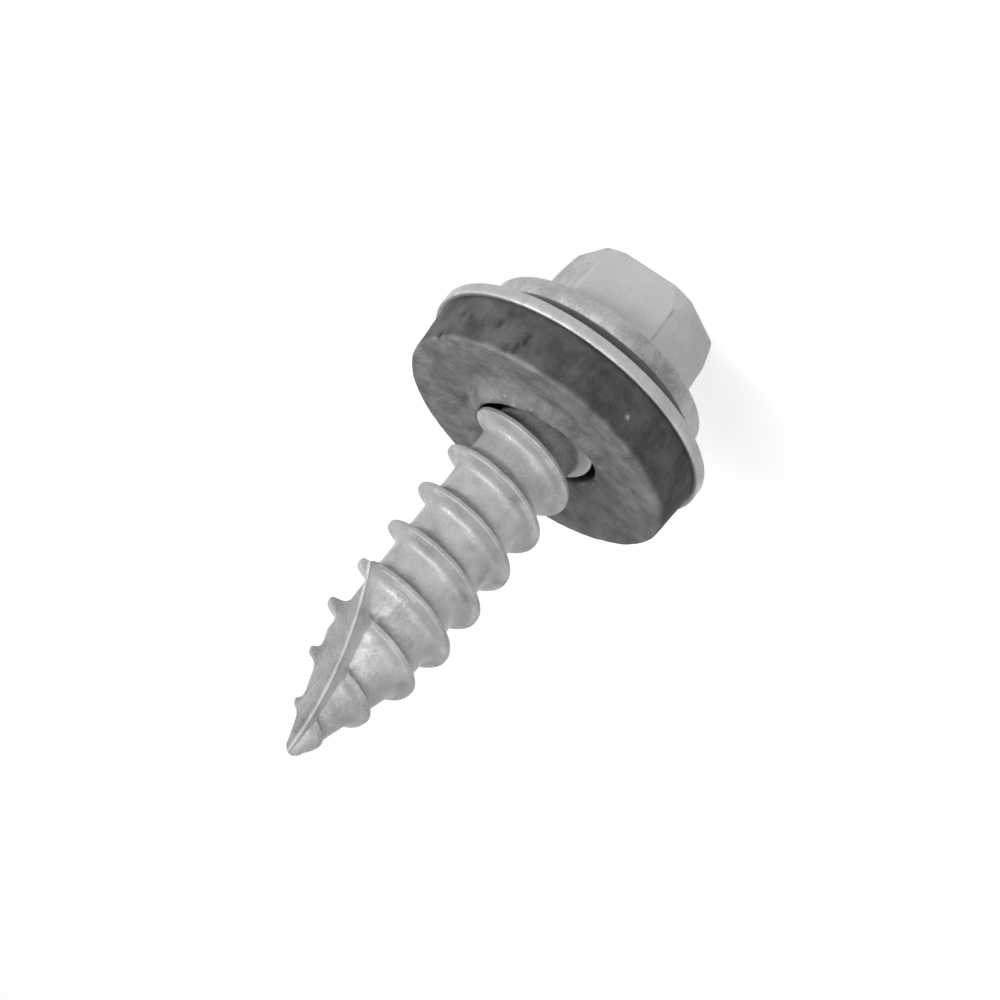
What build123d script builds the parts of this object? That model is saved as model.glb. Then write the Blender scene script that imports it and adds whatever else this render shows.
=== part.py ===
"""Hex washer head roofing screw with a notched cutting point and a captive sealing washer.

The screw stands on its head: +Z runs from the flat top of the head to the cutting point, and the
origin is the centre of the head's top face.  All sizes are in millimetres.
"""
from build123d import *
from math import cos, radians, sin, tan
import os

# ---------------------------------------------------------------- driving dimensions
# hex head with its forged flange
hex_across_flats = 7.76        # at the top of the head
hex_draft = 2.6                # degrees, each flat leans out towards the flange
hex_corner_flat = 0.14          # chamfer down the six corners
head_height = 5.3              # flat top of the head to the bearing face of the flange
crown_diameter = 8.3           # where the forged shoulder meets the top of the head
crown_depth = 1.45             # how far down the corners the shoulder reaches
crown_edge = 0.12              # chamfer round the top of the head
flange_diameter = 12.6
flange_rim = 1.1               # height of the flange's rim
flange_rim_edge = 0.18
flange_slope = 14.0            # degrees, upper face of the flange

# shank and coarse thread
length_under_head = 25.0       # bearing face to the tip
neck_diameter = 5.5
neck_length = 1.1
core_diameter = 4.7
thread_diameter = 6.4
thread_pitch = 2.54
left_hand_thread = True
thread_stop = 0.35             # bare tip beyond the thread's end
thread_angle = 175.2           # degrees about Z where the thread leaves the neck
runout_length = 3.8            # stretch over which the thread grows to its full height
crest_width = 0.22
flank_angle = 22.0             # degrees from square to the axis

# cutting point
cone_length = 6.2              # tapered part of the core
point_length = 7.45            # tapered part of the thread
point_bulge = 0.25             # how far the crests swell beyond a straight cone
tip_radius = 0.35
notch_angle = -25.0            # degrees about Z, along the flat wall of the notch
notch_wall_offset = 0.14       # flat wall of the notch, from the axis
notch_depth_offset = 0.06      # root of the notch, from the axis, at its deepest
notch_cutter_radius = 21.5
notch_overrun = 0.6            # deepest point of the notch, beyond the tip
notch_root_edge = 0.11

# dished metal backing washer
washer_diameter = 16.1
washer_thickness = 0.70
washer_dish = 1.15             # how far the rim stands off the bearing face
washer_land_diameter = 7.4     # flat ring that seats on the bearing face
washer_bore_clearance = 0.08   # radial, on the neck

# bonded rubber seal
seal_setback = 0.225           # the bonded edge stands back from the washer's rim
seal_draft = 0.175             # how much smaller in radius the free edge is
seal_thickness = 2.79          # at the rim
seal_hollow = 0.57             # how far its lower face hollows towards the bore
seal_rim_edge = 0.20
seal_bore_clearance = 0.08     # radial, on the thread's crests

# ---------------------------------------------------------------- worked out
tip_z = head_height + length_under_head
point_z = tip_z - point_length
cone_z = tip_z - cone_length
neck_end_z = head_height + neck_length
full_thread_z = neck_end_z + runout_length
core_radius = core_diameter / 2
thread_radius = thread_diameter / 2
neck_radius = neck_diameter / 2
flange_radius = flange_diameter / 2
washer_radius = washer_diameter / 2
land_radius = washer_land_diameter / 2
seal_radius = washer_radius - seal_setback
turn = -1 if left_hand_thread else 1
section_rise = 0.15875         # the thread is lofted through a section at every rise of this much
root_sink = 0.15               # the thread's foot is buried this deep in the core


def core_radius_at(z):
    if z <= cone_z:
        return core_radius
    return core_radius + (tip_radius - core_radius) * (z - cone_z) / cone_length


def crest_radius_at(z):
    if z < full_thread_z:
        share = (z - neck_end_z) / runout_length
        return neck_radius - root_sink + (thread_radius - neck_radius + root_sink) * share
    if z <= point_z:
        return thread_radius
    share = (z - point_z) / point_length
    return thread_radius + (tip_radius - thread_radius) * share + 4 * point_bulge * share * (1 - share)


def thread_angle_at(z):
    return thread_angle + turn * 360 * (z - neck_end_z) / thread_pitch


def washer_face_z(radius):
    """Height of the backing washer's face towards the flange: a flat land, then the dish."""
    return head_height + washer_dish * max(radius - land_radius, 0) / (washer_radius - land_radius)


def outward(angle):
    return Vector(cos(radians(angle)), sin(radians(angle)), 0)


def radial_plane(angle, z):
    """Plane through the axis: its local X points outwards at the angle, its local Y points up."""
    return Plane(origin=(0, 0, z), x_dir=outward(angle), z_dir=outward(angle).cross(Vector(0, 0, 1)))


def thread_stretch(start_z, end_z):
    """Stretch of thread ridge, lofted through sections that turn about the axis as they rise."""
    steps = round((end_z - start_z) / section_rise)
    with BuildPart() as stretch:
        for step in range(steps + 1):
            z = start_z + (end_z - start_z) * step / steps
            foot_radius = core_radius_at(z) - root_sink
            crest_radius = max(crest_radius_at(z), core_radius_at(z) + 0.05)
            fullness = (crest_radius - core_radius_at(z)) / (thread_radius - core_radius)
            half_crest = crest_width / 4 * (1 + fullness)
            half_foot = half_crest + (crest_radius - foot_radius) * tan(radians(flank_angle))
            with BuildSketch(radial_plane(thread_angle_at(z), z)):
                with BuildLine():
                    Polyline((foot_radius, half_foot), (crest_radius, half_crest),
                             (crest_radius, -half_crest), (foot_radius, -half_foot), close=True)
                make_face()
        loft()
    return stretch.part


os.makedirs("parts", exist_ok=True)

# ---------------------------------------------------------------- screw
with BuildPart() as head:
    # six flats that lean out towards the flange, their corners cut back by the forged shoulder
    for z in (0, head_height - flange_rim / 2):
        with BuildSketch(Plane.XY.offset(z)):
            RegularPolygon(radius=hex_across_flats / 2 + z * tan(radians(hex_draft)), side_count=6,
                           major_radius=False)
    loft()
    chamfer(head.edges().filter_by(lambda edge: abs(edge.tangent_at(0.5).Z) > 0.9), hex_corner_flat)
    with BuildSketch(Plane.XZ):
        corner_radius = hex_across_flats / 2 / cos(radians(30)) + crown_depth * tan(radians(hex_draft))
        with BuildLine():
            Polyline((0, 0), (crown_diameter / 2, 0), (corner_radius, crown_depth),
                     (corner_radius + head_height - crown_depth, head_height), (0, head_height), close=True)
        make_face()
    revolve(axis=Axis.Z, mode=Mode.INTERSECT)
    chamfer(head.faces().sort_by(Axis.Z)[0].edges(), crown_edge)

with BuildPart() as flange:
    with BuildSketch(Plane.XZ) as flange_profile:
        rim_top_z = head_height - flange_rim
        slope_top_z = rim_top_z - (flange_radius - hex_across_flats / 2) * tan(radians(flange_slope))
        with BuildLine():
            Polyline((0, head_height), (flange_radius, head_height), (flange_radius, rim_top_z),
                     (hex_across_flats / 2, slope_top_z), (0, slope_top_z), close=True)
        make_face()
        chamfer(flange_profile.vertices().group_by(Axis.X)[-1], flange_rim_edge)
    revolve(axis=Axis.Z)

with BuildPart() as shank:
    # neck, core and cone are turned in one profile, and the thread is raised on them
    with BuildSketch(Plane.XZ):
        with BuildLine():
            Polyline((0, rim_top_z), (neck_radius, rim_top_z), (neck_radius, neck_end_z),
                     (core_radius, neck_end_z + neck_radius - core_radius),
                     (core_radius, cone_z), (tip_radius, tip_z), (0, tip_z), close=True)
        make_face()
    revolve(axis=Axis.Z)
    # one stretch each for the run-out, the full thread and the cone
    stretch_ends = (neck_end_z, full_thread_z, cone_z, tip_z - thread_stop)
    for start_z, end_z in zip(stretch_ends, stretch_ends[1:]):
        add(thread_stretch(start_z, end_z))

with BuildPart() as notch_cutter:
    # a disc whose side leaves the flat wall of the notch and whose edge leaves the curved one
    open_way = outward(notch_angle - 90)
    with BuildSketch(Plane(origin=open_way * notch_wall_offset, x_dir=outward(notch_angle), z_dir=open_way)):
        with Locations((notch_cutter_radius + notch_depth_offset, tip_z + notch_overrun)):
            Circle(notch_cutter_radius)
    extrude(amount=thread_radius + 1)
    side_faces = notch_cutter.faces().filter_by(GeomType.PLANE)
    chamfer(side_faces.sort_by(lambda face: face.center().dot(open_way))[0].edges(), notch_root_edge)

with BuildPart() as screw:
    add(head.part)
    add(flange.part)
    add(shank.part)
    add(notch_cutter.part, mode=Mode.SUBTRACT)

screw.part.label = "screw"
export_step(screw.part, "parts/screw.step")

# ---------------------------------------------------------------- sealing washer
with BuildPart() as backing_washer:
    with BuildSketch(Plane.XZ):
        bore_radius = neck_radius + washer_bore_clearance
        under = [(radius, washer_face_z(radius)) for radius in (bore_radius, land_radius, washer_radius)]
        over = [(radius, z + washer_thickness) for radius, z in reversed(under)]
        with BuildLine():
            Polyline(*under, *over, close=True)
        make_face()
    revolve(axis=Axis.Z)

backing_washer.part.label = "backing_washer"
export_step(backing_washer.part, "parts/backing_washer.step")

with BuildPart() as seal:
    with BuildSketch(Plane.XZ) as seal_profile:
        seal_bore = thread_radius + seal_bore_clearance
        bonded = [(radius, washer_face_z(radius) + washer_thickness)
                  for radius in (seal_bore, land_radius, seal_radius)]
        seal_rim_z = bonded[-1][1] + seal_thickness
        with BuildLine():
            Polyline(*bonded, (seal_radius - seal_draft, seal_rim_z), (seal_bore, seal_rim_z - seal_hollow),
                     close=True)
        make_face()
        chamfer(seal_profile.vertices().sort_by(Axis.Y)[-1], seal_rim_edge)
    revolve(axis=Axis.Z)

seal.part.label = "rubber_seal"
export_step(seal.part, "parts/rubber_seal.step")
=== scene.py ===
"""Dresses the roofing screw: the zinc-coated screw, its metal washer and the bonded rubber ring.

Lengths are in millimetres up to the last step of each piece, and +Z runs from the head to the point.
"""

from math import atan, atan2, cos, degrees, dist, exp, hypot, pi, radians, sin, sqrt, tan

import bpy
from mathutils import Matrix, Vector, noise


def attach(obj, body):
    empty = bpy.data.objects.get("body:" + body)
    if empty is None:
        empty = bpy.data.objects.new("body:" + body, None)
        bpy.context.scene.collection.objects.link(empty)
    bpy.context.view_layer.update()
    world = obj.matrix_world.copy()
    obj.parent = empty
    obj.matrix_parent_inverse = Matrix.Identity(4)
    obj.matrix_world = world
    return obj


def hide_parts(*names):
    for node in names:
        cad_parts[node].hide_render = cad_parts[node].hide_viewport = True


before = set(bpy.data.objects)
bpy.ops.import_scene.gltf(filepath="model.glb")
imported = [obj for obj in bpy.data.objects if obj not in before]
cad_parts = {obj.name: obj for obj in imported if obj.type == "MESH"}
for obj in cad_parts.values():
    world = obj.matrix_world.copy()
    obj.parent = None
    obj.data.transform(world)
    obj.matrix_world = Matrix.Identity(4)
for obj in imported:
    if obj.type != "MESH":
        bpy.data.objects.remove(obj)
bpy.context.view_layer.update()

MM = 0.001
SIXTH = pi / 3                 # from one corner of the hexagon to the next

# ---------------------------------------------------------------- sizes, as in the solids
HEX_HALF = 3.88                # half across the flats, at the top of the head
HEX_DRAFT = radians(2.6)
CROWN_RADIUS = 4.15
CROWN_DEPTH = 1.45
HEAD_HEIGHT = 5.3
FLANGE_RADIUS = 6.3
FLANGE_RIM = 1.1
FLANGE_SLOPE = radians(14)

NECK_RADIUS = 2.75
NECK_END = 6.4
CORE_RADIUS = 2.35
THREAD_RADIUS = 3.2
PITCH = 2.54
THREAD_ANGLE = radians(175.2)
FULL_THREAD = 10.2
TIP = 30.3
CONE_LENGTH = 6.2
POINT_LENGTH = 7.45
POINT_BULGE = 0.25
TIP_RADIUS = 0.35
THREAD_STOP = 0.35

WASHER_RADIUS = 8.05
WASHER_BORE = 2.83
WASHER_LAND = 3.7
WASHER_DISH = 1.15
WASHER_THICKNESS = 0.70
SEAL_TOP_RADIUS = 7.825
SEAL_BOTTOM_RADIUS = 7.65
SEAL_BORE = 3.28
SEAL_THICKNESS = 2.79
SEAL_HOLLOW = 0.57

# ---------------------------------------------------------------- sizes that are only here
HEX_CORNER_RADIUS = 0.30
CROWN_LEAST_DEPTH = 0.3        # the shoulder's line ends no higher than this
THREAD_CREST = 0.145           # half the width of the crest
THREAD_FOOT = 0.43             # half the width of the ridge at the core
THREAD_SINK = 0.15             # how deep in the neck the thread starts
HEAD_FILLETS = (0.2, 1.6, 0.5, 0.32, 0.10)              # top edge, shoulder, foot, upper and lower rim
THREAD_FILLETS = (0.55, 0.13, 0.13, 0.70)               # foot towards the head, crest, crest, other foot
WASHER_FILLETS = (0.12, 1.2, 0.10, 0.12, 1.2, 0.12)     # bore edge, bend, rim, and back over the far face
SEAL_FILLETS = (0.05, 1.2, 0.06, 0.24, 0.14)            # bonded face, then rim and lip of the free face

# The notch's disc is 1 mm larger in radius than the solid's, and cuts up to 0.2 mm beside it
NOTCH_ANGLE = radians(-24)
NOTCH_WALL_OFFSET = -0.03
NOTCH_DEPTH_OFFSET = 0.11
NOTCH_RADIUS = 22.5
NOTCH_OVERRUN = 0.6
NOTCH_EDGE = 0.16
NOTCH_DISC_WAY = (cos(NOTCH_ANGLE), sin(NOTCH_ANGLE), 0)                        # to the disc's centre
NOTCH_OPEN_WAY = (cos(NOTCH_ANGLE - pi / 2), sin(NOTCH_ANGLE - pi / 2), 0)      # out of the flat wall


# ---------------------------------------------------------------- workshop helpers
def deselect_all():
    if bpy.context.object and bpy.context.object.mode != "OBJECT":
        bpy.ops.object.mode_set(mode="OBJECT")
    bpy.ops.object.select_all(action="DESELECT")


def pick(piece):
    deselect_all()
    piece.select_set(True)
    bpy.context.view_layer.objects.active = piece


def edit_all(piece):
    """Opens the piece for editing with everything selected."""
    pick(piece)
    bpy.ops.object.mode_set(mode="EDIT")
    bpy.ops.mesh.select_all(action="SELECT")


def apply_modifier(piece, kind, **settings):
    """Adds a modifier with these settings and applies it."""
    pick(piece)
    modifier = piece.modifiers.new(kind.lower(), kind)
    for name, value in settings.items():
        setattr(modifier, name, value)
    bpy.ops.object.modifier_apply(modifier=modifier.name)


def draw_line(name, points):
    """A profile line in the XZ plane, extruded from point to point: each point is (radius, height)."""
    deselect_all()
    bpy.ops.mesh.primitive_plane_add(size=0.01, location=(points[0][0], 0, points[0][1]))
    line = bpy.context.object
    line.name = line.data.name = name
    bpy.ops.object.transform_apply(location=True, rotation=False, scale=False)
    edit_all(line)
    bpy.ops.mesh.merge(type="CENTER")
    for (radius, height), (next_radius, next_height) in zip(points, points[1:]):
        step = (next_radius - radius, 0, next_height - height)
        bpy.ops.mesh.extrude_region_move(TRANSFORM_OT_translate={"value": step})
    bpy.ops.object.mode_set(mode="OBJECT")
    return line


def turn_on_axis(name, points, steps):
    """A closed body of revolution, spun from its profile."""
    body = draw_line(name, points)
    edit_all(body)
    bpy.ops.mesh.spin(steps=steps, angle=2 * pi, center=(0, 0, 0), axis=(0, 0, 1))
    bpy.ops.object.mode_set(mode="OBJECT")
    return body


def close_seams(piece):
    """Merges seams and poles and turns every face outwards."""
    edit_all(piece)
    bpy.ops.mesh.remove_doubles(threshold=0.0004)
    bpy.ops.mesh.normals_make_consistent(inside=False)
    bpy.ops.object.mode_set(mode="OBJECT")


def reshape(piece, place):
    """Moves every vertex to where place(vertex position) says."""
    for vertex in piece.data.vertices:
        vertex.co = place(vertex.co)
    piece.data.update()


def wrinkle(piece, *waves, where):
    """Sinks the surface a little where where(vertex position) holds, by noise of (size, depth) waves."""
    pushes = []
    for vertex in piece.data.vertices:
        depth = sum(most * (0.5 + 0.5 * noise.noise(vertex.co / size)) for size, most in waves)
        pushes.append(vertex.normal * (depth * where(vertex.co)))
    for vertex, push in zip(piece.data.vertices, pushes):
        vertex.co -= push
    piece.data.update()


def paint_mask(piece, name, strength):
    """Stores strength(vertex position), 0 to 1, as an attribute that the finish reads."""
    mask = piece.data.attributes.new(name, "FLOAT", "POINT")
    for entry, vertex in zip(mask.data, piece.data.vertices):
        entry.value = min(max(strength(vertex.co), 0), 1)


def bump_curve(distance, width):
    return exp(-(distance / width) ** 2)


def ease(value, low, high):
    """0 below low, 1 above high, smooth between."""
    share = min(max((value - low) / (high - low), 0), 1)
    return share * share * (3 - 2 * share)


def polar(point):
    """Distance from the screw's axis, and angle about it."""
    return hypot(point.x, point.y), atan2(point.y, point.x)


def facing(angle, side, low, high):
    """0 to 1 as the angle comes closer to this side; low and high are cosines."""
    return ease(cos(angle - radians(side)), low, high)


def noise_round(angle, waves, layer):
    """Noise that changes only round the axis, from a layer of its own."""
    return noise.noise(Vector((cos(angle) * waves, sin(angle) * waves, layer)))


def moved_out(point, radius, lift=0.0):
    """The point at another distance from the axis, and lifted."""
    now = hypot(point.x, point.y)
    return Vector((point.x / now * radius, point.y / now * radius, point.z + lift))


def finish_piece(piece, material, body, node):
    """From millimetres to metres, shaded, painted and tied to the model."""
    piece.data.transform(Matrix.Scale(MM, 4))
    pick(piece)
    bpy.ops.object.shade_smooth_by_angle(angle=radians(40))
    piece.data.materials.clear()
    piece.data.materials.append(material)
    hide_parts(node)
    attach(piece, body)


def rounded(corners, radii, arc_steps, straight_steps):
    """A profile with each inner corner rounded.

    Every corner gives arc_steps + 1 points and every straight its own number, so that two profiles with
    the same counts match point for point.
    """
    least_reach, most_share = 0.012, 0.48
    corners = [Vector(corner) for corner in corners]
    points = [corners[0]]
    for index in range(1, len(corners)):
        here, start = corners[index], points[-1]
        if index == len(corners) - 1:
            arc = [here]
        else:
            back, ahead = corners[index - 1] - here, corners[index + 1] - here
            turned = pi - back.angle(ahead)
            reach = max(radii[index - 1] * tan(turned / 2), least_reach)
            reach = min(reach, back.length * most_share, ahead.length * most_share)
            first = here + back.normalized() * reach
            last = here + ahead.normalized() * reach
            arc = [(1 - t) ** 2 * first + 2 * t * (1 - t) * here + t ** 2 * last
                   for t in (step / arc_steps for step in range(arc_steps + 1))]
        for step in range(1, straight_steps[index - 1]):
            points.append(start.lerp(arc[0], step / straight_steps[index - 1]))
        points.extend(arc)
    return [tuple(point) for point in points]


# ---------------------------------------------------------------- finishes
def new_material(name):
    material = bpy.data.materials.new(name)
    material.use_nodes = True
    return material, material.node_tree.nodes, material.node_tree.links


def tool(nodes, kind, **settings):
    """A shader node; numbers and colours for its sockets are given by socket name."""
    node = nodes.new(kind)
    for name, value in settings.items():
        if hasattr(node, name):
            setattr(node, name, value)
        else:
            node.inputs[name.replace("_", " ")].default_value = value
    return node


def ramp(nodes, links, source, low, high, low_value=0.0, high_value=1.0):
    """Stretches source from low..high to low_value..high_value, with soft ends."""
    node = tool(nodes, "ShaderNodeMapRange", interpolation_type="SMOOTHSTEP", From_Min=low, From_Max=high,
                To_Min=low_value, To_Max=high_value)
    links.new(source, node.inputs["Value"])
    return node.outputs["Result"]


def blend_colours(nodes, links, mask, first, second):
    """Mixes two colours, each a plain colour or a socket, by the mask."""
    node = nodes.new("ShaderNodeMix")
    node.data_type = "RGBA"
    links.new(mask, node.inputs["Factor"])
    for name, colour in (("A", first), ("B", second)):
        socket = next(entry for entry in node.inputs if entry.name == name and entry.type == "RGBA")
        if isinstance(colour, tuple):
            socket.default_value = (*colour, 1)
        else:
            links.new(colour, socket)
    return next(entry for entry in node.outputs if entry.type == "RGBA")


def scaled(nodes, links, first, second):
    """first times second; second is a socket or a number."""
    node = tool(nodes, "ShaderNodeMath", operation="MULTIPLY")
    links.new(first, node.inputs[0])
    if isinstance(second, (int, float)):
        node.inputs[1].default_value = second
    else:
        links.new(second, node.inputs[1])
    return node.outputs[0]


def added(nodes, links, first, second):
    node = tool(nodes, "ShaderNodeMath", operation="ADD")
    links.new(first, node.inputs[0])
    links.new(second, node.inputs[1])
    return node.outputs[0]


def layered(nodes, links, colour, layers):
    """Lays colours over each other; each layer is a mask, how strongly it covers and its colour."""
    for mask, strength, over in layers:
        colour = blend_colours(nodes, links, scaled(nodes, links, mask, strength), colour, over)
    return colour


def new_group(name, outputs, values=None, output_type="NodeSocketFloat"):
    """A node group fed with a place vector and named values."""
    group = bpy.data.node_groups.new(name, "ShaderNodeTree")
    group.interface.new_socket("Place", in_out="INPUT", socket_type="NodeSocketVector")
    for value_name, value in (values or {}).items():
        socket = group.interface.new_socket(value_name, in_out="INPUT", socket_type="NodeSocketFloat")
        socket.default_value = value
    for output_name in outputs:
        group.interface.new_socket(output_name, in_out="OUTPUT", socket_type=output_type)
    return group, group.nodes.new("NodeGroupInput"), group.nodes.new("NodeGroupOutput")


def build_uneven():
    """Broad clouds, fine grain and scattered spots at given scales, as masks and a height."""
    group, given, result = new_group("uneven_skin", ("Cloud", "Grain", "Spots", "Height"),
                                     {"Cloud Scale": 500, "Grain Scale": 3000, "Spot Scale": 1200})
    nodes, links = group.nodes, group.links

    def layer(scale_name, detail, roughness, low, high):
        node = tool(nodes, "ShaderNodeTexNoise", Detail=detail, Roughness=roughness)
        links.new(given.outputs["Place"], node.inputs["Vector"])
        links.new(given.outputs[scale_name], node.inputs["Scale"])
        return ramp(nodes, links, node.outputs["Fac"], low, high)

    broad = layer("Cloud Scale", 5, 0.62, 0.28, 0.72)
    grain = layer("Grain Scale", 2, 0.6, 0.25, 0.75)
    links.new(broad, result.inputs["Cloud"])
    links.new(grain, result.inputs["Grain"])
    links.new(layer("Spot Scale", 1, 0.5, 0.62, 0.74), result.inputs["Spots"])
    links.new(added(nodes, links, scaled(nodes, links, broad, 0.6), scaled(nodes, links, grain, 0.4)),
              result.inputs["Height"])
    return group


def build_rings():
    """A place vector that runs round the axis, so that a pattern on it becomes streaks in rings."""
    group, given, result = new_group("ring_streaks", ("Ring Place",), {"Around": 1.0, "Across": 1000.0},
                                     "NodeSocketVector")
    nodes, links = group.nodes, group.links

    def vector_tool(operation, source, second=None, socket=1):
        node = tool(nodes, "ShaderNodeVectorMath", operation=operation)
        links.new(source, node.inputs[0])
        if second is not None:
            links.new(second, node.inputs[socket])
        return node

    flat = vector_tool("MULTIPLY", given.outputs["Place"])
    flat.inputs[1].default_value = (1, 1, 0)
    way = vector_tool("NORMALIZE", flat.outputs["Vector"])
    round_way = vector_tool("SCALE", way.outputs["Vector"], given.outputs["Around"], "Scale")
    radius = vector_tool("LENGTH", flat.outputs["Vector"])
    outwards = nodes.new("ShaderNodeCombineXYZ")
    links.new(scaled(nodes, links, radius.outputs["Value"], given.outputs["Across"]), outwards.inputs["Z"])
    total = vector_tool("ADD", round_way.outputs["Vector"], outwards.outputs["Vector"])
    links.new(total.outputs["Vector"], result.inputs["Ring Place"])
    return group


def build_notch_walls():
    """Masks for the milled notch: painted shade on the narrow wall and on the line beside the root, and a
    painted highlight on the root between the walls.
    """
    group, given, result = new_group("notch_walls", ("Narrow Wall", "Root", "Beside Root"))
    nodes, links = group.nodes, group.links

    def along(way):
        """How far out the place lies on this way, in metres."""
        node = tool(nodes, "ShaderNodeVectorMath", operation="DOT_PRODUCT")
        links.new(given.outputs["Place"], node.inputs[0])
        node.inputs[1].default_value = way
        return node.outputs["Value"]

    def less(value, amount):
        """The value in metres less an amount in millimetres."""
        node = tool(nodes, "ShaderNodeMath", operation="SUBTRACT")
        links.new(value, node.inputs[0])
        node.inputs[1].default_value = amount * MM
        return node.outputs[0]

    def fade(value, zero_at, one_at):
        """0 to 1 between two distances in millimetres."""
        return ramp(nodes, links, value, zero_at * MM, one_at * MM)

    def together(mask, *others):
        for other in others:
            mask = scaled(nodes, links, mask, other)
        return mask

    height = along((0, 0, 1))
    from_wall = less(along(NOTCH_OPEN_WAY), NOTCH_WALL_OFFSET)
    from_centre = nodes.new("ShaderNodeCombineXYZ")
    links.new(less(along(NOTCH_DISC_WAY), NOTCH_RADIUS + NOTCH_DEPTH_OFFSET), from_centre.inputs["X"])
    links.new(less(height, TIP + NOTCH_OVERRUN), from_centre.inputs["Y"])
    length = tool(nodes, "ShaderNodeVectorMath", operation="LENGTH")
    links.new(from_centre.outputs["Vector"], length.inputs[0])
    from_rim = tool(nodes, "ShaderNodeMath", operation="ABSOLUTE")
    links.new(less(length.outputs["Value"], NOTCH_RADIUS), from_rim.inputs[0])
    from_rim = from_rim.outputs[0]
    in_notch = together(fade(from_wall, -0.02, 0), fade(height, 19.5, 20.5))
    narrow = together(fade(from_rim, 0.010, 0.002), fade(from_wall, 0.12, 0.20), in_notch)
    root = together(fade(from_rim, 0.17, 0.09), fade(from_wall, 0.15, 0.07), in_notch)
    links.new(narrow, result.inputs["Narrow Wall"])
    links.new(root, result.inputs["Root"])
    links.new(together(narrow, fade(from_wall, 0.36, 0.24)), result.inputs["Beside Root"])
    return group


uneven_skin = build_uneven()
ring_streaks = build_rings()
notch_walls = build_notch_walls()


def place_group(nodes, links, group, place, **values):
    node = nodes.new("ShaderNodeGroup")
    node.node_tree = group
    links.new(place, node.inputs["Place"])
    for name, value in values.items():
        node.inputs[name.replace("_", " ")].default_value = value
    return node


def painted_mask(nodes, name):
    return tool(nodes, "ShaderNodeAttribute", attribute_name=name).outputs["Fac"]


def grey(value):
    """A grey with a trace of warmth."""
    return (value, value, value * 0.985)


def zinc_material(name, dull, bright, metallic, roughness, notch=False):
    """Zinc coating: uneven grey with fine grain, painted shade with grime, painted light on the flats, and
    painted highlights with bare metal where the masks say.
    """
    # Greys of the painted highlights with bare wear, and of the painted highlight along the notch's root
    sheen_and_bare_metal, root_highlight = 0.86, 0.88
    material, nodes, links = new_material(name)
    shader = nodes["Principled BSDF"]
    shader.inputs["Metallic"].default_value = metallic
    place = nodes.new("ShaderNodeTexCoord").outputs["Object"]
    skin = place_group(nodes, links, uneven_skin, place, Cloud_Scale=900, Grain_Scale=8200, Spot_Scale=1500)
    height = skin.outputs["Height"]
    in_hollows = ramp(nodes, links, height, 0.25, 0.70, 1.0, 0.55)
    on_heights = ramp(nodes, links, height, 0.25, 0.70, 0.35, 1.0)
    # Layers: painted light on the flats, fine grain, painted shade with grime in hollows, painted highlights
    # with bare wear on heights
    layers = [(painted_mask(nodes, "lit_flats"), 0.8, grey(bright * 1.06)),
              (skin.outputs["Grain"], 0.34, grey(bright * 1.30)),
              (painted_mask(nodes, "shade_and_grime"), in_hollows, grey(dull * 0.36)),
              (painted_mask(nodes, "sheen_and_wear"), on_heights, grey(sheen_and_bare_metal))]
    if notch:
        walls = place_group(nodes, links, notch_walls, place).outputs
        # Painted shade on the narrow wall and beside the root, and a painted highlight along the root
        layers += [(walls["Narrow Wall"], 0.28, grey(dull * 0.5)),
                   (walls["Beside Root"], 0.5, grey(dull * 0.3)),
                   (walls["Root"], 0.34, grey(root_highlight))]
    coat = blend_colours(nodes, links, skin.outputs["Cloud"], grey(dull), grey(bright))
    links.new(layered(nodes, links, coat, layers), shader.inputs["Base Color"])
    links.new(ramp(nodes, links, height, 0.2, 0.8, roughness + 0.06, roughness - 0.06),
              shader.inputs["Roughness"])
    bump = tool(nodes, "ShaderNodeBump", Strength=0.4, Distance=0.05 * MM)
    links.new(height, bump.inputs["Height"])
    links.new(bump.outputs["Normal"], shader.inputs["Normal"])
    return material


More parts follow.
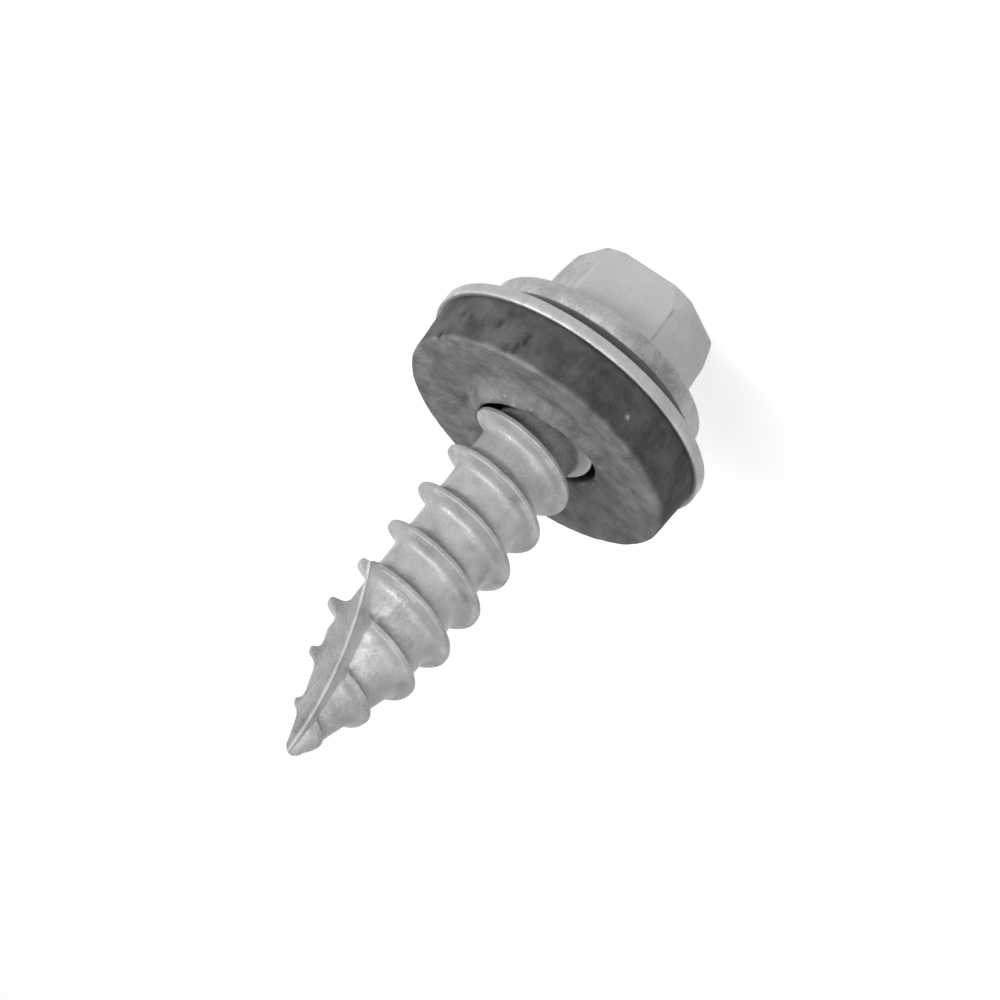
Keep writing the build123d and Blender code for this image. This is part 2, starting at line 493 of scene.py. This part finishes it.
def rubber_material():
    """Black rubber, dusty and scuffed in rings on the face that meets the roof, with painted light on that
    face and painted shade under the washer's rim, in the nicks and down the bore.
    """
    side_dark, side_light, side_grain = (0.030, 0.029, 0.030), (0.110, 0.109, 0.110), (0.13, 0.13, 0.13)
    # The free face's colours hold its dust and, in part, painted light from the tip side
    face_dark, face_light, face_grain = (0.100, 0.101, 0.105), (0.375, 0.376, 0.384), (0.34, 0.34, 0.348)
    # The second colour is the near-black of the painted shade
    scuffed, seal_shade = (0.26, 0.26, 0.268), (0.012, 0.012, 0.012)
    material, nodes, links = new_material("dusty_rubber")
    shader = nodes["Principled BSDF"]
    shader.inputs["Roughness"].default_value = 0.8
    shader.inputs["Specular IOR Level"].default_value = 0.25
    place = nodes.new("ShaderNodeTexCoord").outputs["Object"]
    skin = place_group(nodes, links, uneven_skin, place, Cloud_Scale=620, Grain_Scale=2300,
                       Spot_Scale=2600).outputs
    ring_place = place_group(nodes, links, ring_streaks, place, Around=2.4, Across=1500)
    streaks = place_group(nodes, links, uneven_skin, ring_place.outputs["Ring Place"], Cloud_Scale=1,
                          Grain_Scale=2.2, Spot_Scale=2).outputs["Cloud"]
    dust_and_light = painted_mask(nodes, "dust_and_light")
    side_colour = blend_colours(nodes, links, skin["Cloud"], side_dark, side_light)
    face_colour = blend_colours(nodes, links, skin["Cloud"], face_dark, face_light)
    face_colour = layered(nodes, links, face_colour, [(streaks, 0.45, scuffed)])
    colour = blend_colours(nodes, links, dust_and_light, side_colour, face_colour)
    grain_colour = blend_colours(nodes, links, dust_and_light, side_grain, face_grain)
    # Grain, crumbs, pale flecks, and last the painted shade
    colour = layered(nodes, links, colour, [(skin["Grain"], 0.25, grain_colour),
                                            (skin["Spots"], painted_mask(nodes, "crumbs"), grey(0.45)),
                                            (painted_mask(nodes, "fleck"), 1, grey(0.5)),
                                            (painted_mask(nodes, "seal_shade"), 1, seal_shade)])
    links.new(colour, shader.inputs["Base Color"])
    bump = tool(nodes, "ShaderNodeBump", Strength=0.7, Distance=0.12 * MM)
    links.new(added(nodes, links, skin["Height"], scaled(nodes, links, streaks, 0.3)), bump.inputs["Height"])
    links.new(bump.outputs["Normal"], shader.inputs["Normal"])
    return material


zinc_coat = zinc_material("dull_zinc_coat", 0.36, 0.49, metallic=0.18, roughness=0.34, notch=True)
washer_zinc = zinc_material("washer_zinc", 0.36, 0.46, metallic=0.2, roughness=0.38)
seal_rubber = rubber_material()


# ---------------------------------------------------------------- hexagonal head and flange
def nearest_corner(angle):
    """The hexagon's corner nearest to this angle, counted from +X, and the angle from it."""
    number = round(angle / SIXTH)
    return number % 6, angle - number * SIXTH


def hexagon_radius(angle, height):
    """Distance from the axis to the six flats, with their corners rounded."""
    half = HEX_HALF + height * tan(HEX_DRAFT)
    from_corner = abs(nearest_corner(angle)[1])
    centre = (half - HEX_CORNER_RADIUS) / cos(SIXTH / 2)
    arc_end = atan(HEX_CORNER_RADIUS * sin(SIXTH / 2) / (centre + HEX_CORNER_RADIUS * cos(SIXTH / 2)))
    if from_corner < arc_end:
        across = centre * sin(from_corner)
        return centre * cos(from_corner) + sqrt(HEX_CORNER_RADIUS ** 2 - across ** 2)
    return half / cos(SIXTH / 2 - from_corner)


def flat_line(angle):
    """The hexagon's side at this angle: its radius at the top and how much it gains per millimetre."""
    top = hexagon_radius(angle, 0)
    return top, hexagon_radius(angle, 1) - top


def head_root(angle):
    """Where the hexagon meets the flange at this angle: radius and height."""
    top, wall_slope = flat_line(angle)
    slope = tan(FLANGE_SLOPE)
    height = (HEAD_HEIGHT - FLANGE_RIM - (FLANGE_RADIUS - top) * slope) / (1 - wall_slope * slope)
    return top + wall_slope * height, height


def head_profile(angle):
    """Outline of head and flange from the centre of the top to the centre of the bearing face."""
    top, wall_slope = flat_line(angle)
    corner_radius = HEX_HALF / cos(SIXTH / 2) + CROWN_DEPTH * tan(HEX_DRAFT)
    crown_slope = (corner_radius - CROWN_RADIUS) / CROWN_DEPTH
    crown_end = max((top - CROWN_RADIUS) / (crown_slope - wall_slope), CROWN_LEAST_DEPTH)
    corners = [(0, 0), (min(top, CROWN_RADIUS), 0), (top + crown_end * wall_slope, crown_end),
               head_root(angle), (FLANGE_RADIUS, HEAD_HEIGHT - FLANGE_RIM),
               (FLANGE_RADIUS, HEAD_HEIGHT), (0, HEAD_HEIGHT)]
    return rounded(corners, HEAD_FILLETS, arc_steps=6, straight_steps=(4, 4, 8, 6, 3, 2))


def forge_head():
    """A round blank is turned in steps of a degree, then pressed to the outline at each degree."""
    blank = head_profile(0)
    head = turn_on_axis("head", blank, 360)
    outlines = {}

    def press(point):
        radius, angle = polar(point)
        row = min(range(len(blank)), key=lambda index: dist(blank[index], (radius, point.z)))
        degree = round(degrees(angle))
        if degree not in outlines:
            outlines[degree] = head_profile(radians(degree))
        new_radius, new_height = outlines[degree][row]
        return Vector((new_radius * cos(angle), new_radius * sin(angle), new_height))

    reshape(head, press)
    close_seams(head)
    return head


# ---------------------------------------------------------------- shank, coarse thread and point
def core_radius_at(height):
    """Radius of neck, core and cone under the thread."""
    if height <= NECK_END:
        return NECK_RADIUS
    if height < NECK_END + NECK_RADIUS - CORE_RADIUS:
        return NECK_RADIUS - (height - NECK_END)
    cone_start = TIP - CONE_LENGTH
    if height <= cone_start:
        return CORE_RADIUS
    cone = CORE_RADIUS + (TIP_RADIUS - CORE_RADIUS) * (height - cone_start) / CONE_LENGTH
    left, least_share = max(TIP - height, 0), 0.02
    if left < TIP_RADIUS:
        cone *= sqrt(max(1 - (1 - left / TIP_RADIUS) ** 2, least_share))
    return cone


def crest_radius_at(height):
    """Radius of the thread's crests; 0 where there is no thread."""
    if height < NECK_END or height > TIP - THREAD_STOP:
        return 0
    if height < FULL_THREAD:
        share = (height - NECK_END) / (FULL_THREAD - NECK_END)
        return NECK_RADIUS - THREAD_SINK + (THREAD_RADIUS - NECK_RADIUS + THREAD_SINK) * share
    share = max(height - (TIP - POINT_LENGTH), 0) / POINT_LENGTH
    return THREAD_RADIUS + (TIP_RADIUS - THREAD_RADIUS) * share + 4 * POINT_BULGE * share * (1 - share)


def roll_thread():
    """The thread's profile is swept up the shank as a screw, then the core and crests are tapered."""
    steps_per_turn, turns, turns_before_thread = 96, 12, 2
    depth_in_head, blunt_end = 0.3, 0.01
    corners = [(CORE_RADIUS, -PITCH / 2), (CORE_RADIUS, -THREAD_FOOT), (THREAD_RADIUS, -THREAD_CREST),
               (THREAD_RADIUS, THREAD_CREST), (CORE_RADIUS, THREAD_FOOT), (CORE_RADIUS, PITCH / 2)]
    profile = rounded(corners, THREAD_FILLETS, arc_steps=6, straight_steps=(4, 4, 1, 4, 4))
    last_crest = NECK_END - turns_before_thread * PITCH + turns * PITCH
    shank = draw_line("shank", [(radius, height + last_crest) for radius, height in profile])
    apply_modifier(shank, "SCREW", axis="Z", angle=2 * pi, screw_offset=-PITCH, iterations=turns,
                   steps=steps_per_turn, render_steps=steps_per_turn, use_merge_vertices=True,
                   merge_threshold=0.0005)
    turned = Matrix.Rotation(THREAD_ANGLE, 4, "Z")

    def taper(point):
        point = turned @ point
        core = core_radius_at(point.z)
        fullness = max(crest_radius_at(point.z) - core, 0) / (THREAD_RADIUS - CORE_RADIUS)
        return moved_out(point, core + (polar(point)[0] - CORE_RADIUS) * fullness)

    reshape(shank, taper)
    for height, outwards in ((HEAD_HEIGHT - depth_in_head, -1), (TIP - blunt_end, 1)):
        edit_all(shank)
        bpy.ops.mesh.bisect(plane_co=(0, 0, height), plane_no=(0, 0, outwards), use_fill=True,
                            clear_outer=True)
        bpy.ops.object.mode_set(mode="OBJECT")
    close_seams(shank)
    return shank


def cut_notch(shank):
    """A large milling disc takes a quarter out of the point."""
    width = THREAD_RADIUS + 1
    open_way = Vector(NOTCH_OPEN_WAY)
    centre = (open_way * (NOTCH_WALL_OFFSET + width / 2)
              + Vector(NOTCH_DISC_WAY) * (NOTCH_RADIUS + NOTCH_DEPTH_OFFSET)
              + Vector((0, 0, TIP + NOTCH_OVERRUN)))
    deselect_all()
    bpy.ops.mesh.primitive_cylinder_add(vertices=720, radius=NOTCH_RADIUS, depth=width, location=centre,
                                        rotation=open_way.to_track_quat("Z", "Y").to_euler())
    disc = bpy.context.object
    bpy.ops.object.transform_apply(location=True, rotation=True, scale=False)
    apply_modifier(disc, "BEVEL", width=NOTCH_EDGE, segments=4, limit_method="ANGLE")
    apply_modifier(shank, "BOOLEAN", operation="DIFFERENCE", object=disc, solver="EXACT")
    bpy.data.objects.remove(disc)


# ---------------------------------------------------------------- painted shade, painted highlights, grime and wear of the screw
# How much painted shade lies along each corner line of the hexagon, counted from +X, and on each flat
# between two of them
HEX_CORNER_SHADE = (0.5, 0.3, 0.6, 0.2, 0.9, 0.05)
HEX_FACE_SHADE = (0.2, 0.3, 0.15, 0.16, 0.05, 0.85)
# Sides of the screw, in degrees about Z: painted shade on two sides of the flange and near the point,
# painted highlights on the flange and beside the notch
SHADED_FLANGE = -127
SOFTLY_SHADED_FLANGE = -45
GLINTING_FLANGE = -86
SHADED_POINT = -140
SHINING_POINT = -91


def behind_crest(point):
    """How far this point lies behind the nearest crest, towards the head, in millimetres along the axis."""
    turned = (polar(point)[1] - THREAD_ANGLE) / (2 * pi)
    return (NECK_END - turned * PITCH - point.z) % PITCH


def beside_neck(point):
    """Whether the point is on the head, further out than the neck."""
    return point.z < HEAD_HEIGHT and polar(point)[0] > NECK_RADIUS


def face_shade(point):
    """How much painted shade this point on a flat of the hexagon takes, set for each flat as the light falls
    and blotchy; it fades out towards the corners.
    """
    radius, angle = polar(point)
    from_corner = abs(radius * nearest_corner(angle)[1])
    blotches = 0.9 + 0.3 * noise.noise(point / 0.8)
    return HEX_FACE_SHADE[int(angle // SIXTH) % 6] * blotches * ease(from_corner, 0.05, 0.6)


def head_shade_and_grime(point):
    """Painted shade lies at the foot of the hexagon, along its corner lines, on its flats and on two sides
    of the flange; grime lies in patches on the flange.
    """
    radius, angle = polar(point)
    root_radius, root_height = head_root(angle)
    on_hexagon = radius < root_radius + 0.1
    on_flange = ease(radius, root_radius - 0.1, root_radius + 0.3)
    foot = bump_curve(hypot(radius - root_radius, point.z - root_height), 0.12)
    number, from_corner = nearest_corner(angle)
    corner = HEX_CORNER_SHADE[number] * bump_curve(radius * from_corner, 0.07) * ease(point.z, 1.1, 1.5)
    sides = 0.14 * facing(angle, SOFTLY_SHADED_FLANGE, 0.7, 1) + 0.54 * facing(angle, SHADED_FLANGE, 0.88, 0.99)
    patches = 0.12 * ease(noise_round(angle, 1.1, 7.5), 0, 0.35)
    return max(0.75 * foot, 0.75 * corner * on_hexagon, 0.40 * face_shade(point) * on_hexagon,
               (0.02 + sides + patches) * on_flange)


def shank_shade_and_grime(point):
    """Painted shade lies behind the crests and on them, in the washer's bore and near the tip; grime lies in
    patches.

    The middle of the head's flat top takes the bore's painted shade too.
    """
    radius, angle = polar(point)
    behind = behind_crest(point)
    shade = (1 - ease(behind, 0.40, 0.95)) * ease(behind, 0.04, 0.16)
    on_crest = bump_curve(min(behind, PITCH - behind), 0.09) * (radius > crest_radius_at(point.z) - 0.25)
    thread = max(shade, 0.75 * on_crest) * (point.z > NECK_END)
    bore_end = 10.9
    in_bore = (ease(bore_end - point.z, 0, 0.7)
               * (1 - ease(radius, CORE_RADIUS + 0.25, CORE_RADIUS + 0.55)))
    patches = ease(noise.noise(point / 1.1 + Vector((3, 1, 8))), 0.05, 0.5) * ease(point.z, 12, 13)
    near_tip = bump_curve(point.z - (TIP - 3), 1.7) * facing(angle, SHADED_POINT, 0.3, 0.9)
    return max(0.62 * thread, 0.55 * in_bore, 0.38 * patches, 0.34 * near_tip)


def screw_shade_and_grime(point):
    return head_shade_and_grime(point) if beside_neck(point) else shank_shade_and_grime(point)


def screw_lit_flats(point):
    """The flats of the hexagon and the top of the head are painted lighter, as painted light, least where a
    flat takes painted shade.
    """
    radius, angle = polar(point)
    inside_head = radius < NECK_RADIUS and point.z > 1
    if point.z > HEAD_HEIGHT or inside_head:
        return 0
    return ease(head_root(angle)[0] + 0.15 - radius, 0, 0.2) * (1 - face_shade(point))


def screw_sheen_and_wear(point):
    """Painted highlights lie on the flange's lower edge and along the crests; beside the milled notch a
    painted highlight is broken by scratches.
    """
    radius, angle = polar(point)
    if beside_neck(point):
        glint = facing(angle, GLINTING_FLANGE, 0.90, 0.98)
        elsewhere = 0.45 * ease(noise_round(angle, 1.7, 1.5), 0.05, 0.4)
        edge = ease(radius, FLANGE_RADIUS - 0.2, FLANGE_RADIUS - 0.04)
        return edge * bump_curve(point.z - HEAD_HEIGHT + 0.14, 0.22) * max(glint, elsewhere)
    core = core_radius_at(point.z)
    before_crest = PITCH - behind_crest(point)
    crest = bump_curve(before_crest - 0.20, 0.08) * (radius > core + 0.5)
    patchy = ease(noise.noise(point / 1.3), -0.2, 0.4)
    by_notch = (bump_curve(angle - radians(SHINING_POINT), 0.34) * ease(point.z, 20.5, 21.2)
                * (1 - ease(point.z, 25.8, 27.4)) * (1 - ease(radius, core + 0.15, core + 0.5)))
    scratched = ease(noise.noise(Vector((point.x * 5, point.y * 5, point.z * 1.6))), -0.25, 0.35)
    return max(0.45 * crest * patchy, 0.62 * by_notch * scratched)


def make_screw():
    head = forge_head()
    wrinkle(head, (2.6, 0.020), (0.7, 0.006), where=lambda point: point.z < HEAD_HEIGHT - 0.05)
    shank = roll_thread()
    wrinkle(shank, (1.3, 0.016), (0.35, 0.006), where=lambda point: point.z < TIP - 0.05)
    cut_notch(shank)
    pick(head)
    shank.select_set(True)
    bpy.ops.object.join()
    head.name = head.data.name = "zinc_screw"
    # Masks: painted shade with grime, painted highlights with wear, and painted light on the flats
    paint_mask(head, "shade_and_grime", screw_shade_and_grime)
    paint_mask(head, "sheen_and_wear", screw_sheen_and_wear)
    paint_mask(head, "lit_flats", screw_lit_flats)
    finish_piece(head, zinc_coat, "screw", "screw")


# ---------------------------------------------------------------- sealing washer
GLINTING_WASHER = -78            # side of the rim where its painted highlight is strongest, in degrees


def washer_height(radius):
    """Height of the washer's face towards the flange."""
    return HEAD_HEIGHT + WASHER_DISH * max(radius - WASHER_LAND, 0) / (WASHER_RADIUS - WASHER_LAND)


def washer_sheen(point):
    """The stamped rim has a painted highlight along its lower edge, strongest on one side and patchy
    elsewhere.
    """
    radius, angle = polar(point)
    below_edge = point.z - washer_height(WASHER_RADIUS) - WASHER_THICKNESS + 0.05
    patchy = 0.5 * ease(noise_round(angle, 3.1, 5.5), -0.1, 0.3)
    return (ease(radius, WASHER_RADIUS - 0.25, WASHER_RADIUS - 0.05) * bump_curve(below_edge, 0.12)
            * max(facing(angle, GLINTING_WASHER, 0.80, 0.95), patchy))


def press_washer():
    under = [(radius, washer_height(radius)) for radius in (WASHER_BORE, WASHER_LAND, WASHER_RADIUS)]
    over = [(radius, height + WASHER_THICKNESS) for radius, height in reversed(under)]
    middle = (WASHER_BORE, HEAD_HEIGHT + WASHER_THICKNESS / 2)
    profile = rounded([middle, *under, *over, middle], WASHER_FILLETS, arc_steps=5,
                      straight_steps=(1, 3, 10, 3, 10, 3, 1))
    washer = turn_on_axis("backing_washer_zinc", profile, 288)
    close_seams(washer)
    wrinkle(washer, (1.4, 0.012), (0.4, 0.008), where=lambda point: polar(point)[0] > WASHER_LAND + 1)
    # The washer takes no painted shade and no painted light on flats, only the painted highlight on its rim
    paint_mask(washer, "shade_and_grime", lambda point: 0)
    paint_mask(washer, "sheen_and_wear", washer_sheen)
    paint_mask(washer, "lit_flats", lambda point: 0)
    finish_piece(washer, washer_zinc, "sealing_washer", "backing_washer")


# ---------------------------------------------------------------- rubber ring
# Nicks in its side: angle in degrees, lowest and highest point, half width, depth
NICKS = ((-35.3, 9.50, 9.60, 0.22, 0.16), (-41.6, 8.15, 8.25, 0.16, 0.12),
         (-47.2, 8.35, 8.45, 0.15, 0.12), (-62.3, 8.25, 8.40, 0.17, 0.12),
         (-76.0, 8.30, 8.85, 0.12, 0.13), (-74.2, 8.95, 9.40, 0.13, 0.13),
         (-70.8, 9.30, 9.45, 0.24, 0.10), (18.0, 8.60, 8.80, 0.20, 0.12),
         (96.0, 9.30, 9.50, 0.20, 0.14), (170.0, 8.00, 8.90, 0.14, 0.12))
# Pale specks stuck to its side: angle in degrees, height, size
FLECKS = ((-123.2, 8.61, 0.09), (35.0, 8.9, 0.1), (140.0, 8.3, 0.08))
SIDE_START = 7.3               # the rubber's side lies further out than this
FACE_START = 9.0               # and its free face lies higher than this

SMOOTH_END = 4.3               # the lip is smooth up to this radius
# The lip is pushed out most on one side, given in degrees, and drawn in there
LIP_SIDE = -32
LIP_LIFT = 0.43
LIP_TILT = 0.40
LIP_RADIUS = 3.32
LIP_SHIFT = 0.10


def seal_face_height(radius):
    """Height of the hollow face that meets the roof."""
    rim_height = washer_height(SEAL_TOP_RADIUS) + WASHER_THICKNESS + SEAL_THICKNESS
    return rim_height - SEAL_HOLLOW * (SEAL_BOTTOM_RADIUS - radius) / (SEAL_BOTTOM_RADIUS - SEAL_BORE)


def push_lip(point):
    """The screw pushes the lip of the bore out, unevenly, and draws it in where it stands out most."""
    radius, angle = polar(point)
    lean = cos(angle - radians(LIP_SIDE))
    ragged = noise_round(angle, 2.2, 9.0)
    bore_edge = seal_face_height(SEAL_BORE)
    share = (ease(point.z, bore_edge - 1.2, bore_edge - 0.1)
             * (1 - ease(radius, SEAL_BORE + 0.1, SEAL_BORE + 1.25)))
    lip_radius = LIP_RADIUS - LIP_SHIFT * lean + 0.02 * ragged
    lift = LIP_LIFT + LIP_TILT * lean + 0.05 * ragged
    return moved_out(point, radius + (lip_radius - SEAL_BORE) * share, lift * share)


def nick_depth(point):
    """How far the rubber's side is nicked here."""
    radius, angle = polar(point)
    if radius < SIDE_START:
        return 0
    depth = 0
    for middle, low, high, half_width, deep in NICKS:
        along = max(low - point.z, point.z - high, 0)
        aside = radians((degrees(angle) - middle + 180) % 360 - 180) * radius
        depth = max(depth, deep * bump_curve(hypot(along, aside), half_width))
    return depth


def cut_nick(point):
    return moved_out(point, polar(point)[0] - nick_depth(point))


def seal_dust_and_light(point):
    """Dust lies on the free face, with painted light making it lighter towards one side; one part of the
    side is a little lighter.
    """
    radius, angle = polar(point)
    edge = 0.15 * noise.noise(point / 0.9)
    face = ease(seal_face_height(radius) - point.z, 0.42 + edge, 0.02 + edge) * (point.z > FACE_START)
    side = 0.16 * ease(cos(angle + 0.7), 0.6, 1) * (radius > SIDE_START)
    return max(face * (0.90 + 0.10 * cos(angle + 0.2)), side)


def lip_crumbs(point):
    """Pale crumbs lie on the lip and thin out away from it."""
    return 0.02 + 0.85 * (1 - ease(polar(point)[0], 3.4, 4.7)) * (point.z > FACE_START + 0.3)


def light_fleck(point):
    """A few pale specks are stuck to the side."""
    radius, angle = polar(point)
    return max(bump_curve(hypot((angle - radians(middle)) * radius, point.z - height), size)
               for middle, height, size in FLECKS)


def paint_seal_shade(point):
    """Painted shade: a dark line under the washer's rim, and darkness in the nicks and down the bore."""
    radius = polar(point)[0]
    under_rim = (bump_curve(point.z - washer_height(SEAL_TOP_RADIUS) - WASHER_THICKNESS, 0.16)
                 * (0.7 + 0.6 * noise.noise(point)) * (radius > 7.5))
    bore = ease(9.2 - point.z, 0, 0.4) * (radius < 3.6)
    return max(0.6 * under_rim, 0.8 * bore, 5 * nick_depth(point))


def mould_seal():
    bonded = [(radius, washer_height(radius) + WASHER_THICKNESS)
              for radius in (SEAL_BORE, WASHER_LAND, SEAL_TOP_RADIUS)]
    rim, bore_edge = [(radius, seal_face_height(radius)) for radius in (SEAL_BOTTOM_RADIUS, SEAL_BORE)]
    middle = (SEAL_BORE, (bonded[0][1] + bore_edge[1]) / 2)
    profile = rounded([middle, *bonded, rim, bore_edge, middle], SEAL_FILLETS, arc_steps=5,
                      straight_steps=(6, 2, 8, 22, 34, 8))
    seal = turn_on_axis("rubber_ring", profile, 432)
    close_seams(seal)
    reshape(seal, cut_nick)
    wrinkle(seal, (1.6, 0.05), (0.45, 0.025), where=lambda point: polar(point)[0] > SMOOTH_END)
    # Dust with painted light on the free face, then painted shade under the rim, in the nicks and down the
    # bore
    paint_mask(seal, "dust_and_light", seal_dust_and_light)
    paint_mask(seal, "seal_shade", paint_seal_shade)
    paint_mask(seal, "fleck", light_fleck)
    reshape(seal, push_lip)
    paint_mask(seal, "crumbs", lip_crumbs)
    finish_piece(seal, seal_rubber, "sealing_washer", "rubber_seal")


make_screw()
press_washer()
mould_seal()


# ---------------------------------------------------------------- floor, light and camera
FLOOR_GLOW = 0.62              # the floor's own light, which only the eye and reflections see
ROOM_LIGHT = 0.26              # strength of the white surroundings as a lamp; the eye and reflections see 1
# Lamps, in metres: name, azimuth and elevation seen from the screw in degrees, width, height and watts
LAMP_AIM = Vector((0, 0, 0.014))
LAMP_DISTANCE = 0.5
LAMPS = (("window_lamp", 5, 45, 0.30, 0.30, 0.66), ("strip_lamp", 54, 29, 0.44, 0.05, 1.10),
         ("low_lamp", -35, 15, 0.30, 0.30, 0.45), ("back_lamp", -75, 45, 0.30, 0.30, 0.17))

# How the screw lies before the camera, with one point of its axis as the anchor; millimetres and pixels
SCREW_LEAN = radians(51.885)   # its axis in the picture, below the horizontal
SCREW_TILT = radians(20.899)   # how far its point leans towards the camera
FACING_SIDE = radians(-101.9)  # side of the screw that faces the camera
ANCHOR_HEIGHT = 7.15
ANCHOR_DEPTH = 184.8
ANCHOR_PIXEL = (564.316, 404.718)
IMAGE_HALF = 500.0
FOCAL_PIXELS = 3670.0
SENSOR_WIDTH = 36


def seen_directly(nodes, links):
    """1 where the eye, a reflection or glass looks straight at the backdrop, otherwise 0."""
    path = nodes.new("ShaderNodeLightPath")
    total = added(nodes, links, path.outputs["Is Camera Ray"], path.outputs["Is Glossy Ray"])
    total = added(nodes, links, total, path.outputs["Is Transmission Ray"])
    total.node.use_clamp = True
    return total


def floor_white():
    """Pale floor that looks white to the eye where it is lit, and keeps the shadow."""
    material, nodes, links = new_material("floor_white")
    shader = nodes["Principled BSDF"]
    shader.inputs["Base Color"].default_value = (0.8, 0.8, 0.8, 1)
    shader.inputs["Roughness"].default_value = 0.9
    shader.inputs["Specular IOR Level"].default_value = 0
    shader.inputs["Emission Color"].default_value = (1, 1, 1, 1)
    glow = scaled(nodes, links, seen_directly(nodes, links), FLOOR_GLOW)
    links.new(glow, shader.inputs["Emission Strength"])
    return material


def lay_floor():
    deselect_all()
    bpy.ops.mesh.primitive_plane_add(size=4, location=(0, 0, 0))
    floor = bpy.context.object
    floor.name = "floor"
    floor.data.materials.append(floor_white())


def hang_lamp(name, azimuth, elevation, width, height, power):
    """A soft rectangular lamp aimed at the screw."""
    azimuth, elevation = radians(azimuth), radians(elevation)
    way = Vector((sin(azimuth) * cos(elevation), -cos(azimuth) * cos(elevation), sin(elevation)))
    data = bpy.data.lights.new(name, "AREA")
    data.shape = "RECTANGLE"
    data.size, data.size_y = width, height
    data.energy = power
    lamp = bpy.data.objects.new(name, data)
    bpy.context.collection.objects.link(lamp)
    lamp.location = LAMP_AIM + way * LAMP_DISTANCE
    lamp.rotation_euler = (-way).to_track_quat("-Z", "Y").to_euler()


def light_the_room():
    world = bpy.data.worlds.new("room")
    bpy.context.scene.world = world
    world.use_nodes = True
    nodes, links = world.node_tree.nodes, world.node_tree.links
    background = nodes["Background"]
    background.inputs["Color"].default_value = (1, 1, 1, 1)
    strength = tool(nodes, "ShaderNodeMapRange", To_Min=ROOM_LIGHT, To_Max=1)
    links.new(seen_directly(nodes, links), strength.inputs["Value"])
    links.new(strength.outputs["Result"], background.inputs["Strength"])


def set_camera():
    """Camera close to the screw's side, rolled so that the point hangs down to the left.

    Ways are first written as the camera sees them: right, down and forward.
    """
    up = Vector((-cos(SCREW_TILT) * cos(SCREW_LEAN), cos(SCREW_TILT) * sin(SCREW_LEAN), -sin(SCREW_TILT)))
    side = Vector((0, 0, -1))
    side = (side - side.dot(up) * up).normalized()
    across = up.cross(side)
    side_way = Vector((cos(FACING_SIDE), sin(FACING_SIDE), 0))
    across_way = Vector((0, 0, 1)).cross(side_way)
    anchor = Vector((*((pixel - IMAGE_HALF) / FOCAL_PIXELS for pixel in ANCHOR_PIXEL), 1)) * ANCHOR_DEPTH

    def in_frame(vector):
        """A way or place seen from the camera, turned into the screw's own frame."""
        return (Vector((0, 0, 1)) * vector.dot(up) + side_way * vector.dot(side)
                + across_way * vector.dot(across))

    right, down, forward = (in_frame(Vector(way)) for way in ((1, 0, 0), (0, 1, 0), (0, 0, 1)))
    place = (Vector((0, 0, ANCHOR_HEIGHT)) - in_frame(anchor)) * MM
    data = bpy.data.cameras.new("camera")
    data.sensor_width = SENSOR_WIDTH
    data.lens = FOCAL_PIXELS * SENSOR_WIDTH / (2 * IMAGE_HALF)
    data.clip_start, data.clip_end = 0.01, 10
    camera = bpy.data.objects.new("camera", data)
    bpy.context.collection.objects.link(camera)
    rotation = Matrix((right, -down, -forward)).transposed().to_4x4()
    camera.matrix_world = Matrix.Translation(place) @ rotation
    bpy.context.scene.camera = camera


lay_floor()
light_the_room()
for lamp_values in LAMPS:
    hang_lamp(*lamp_values)
set_camera()
bpy.context.scene.view_settings.view_transform = "Standard"
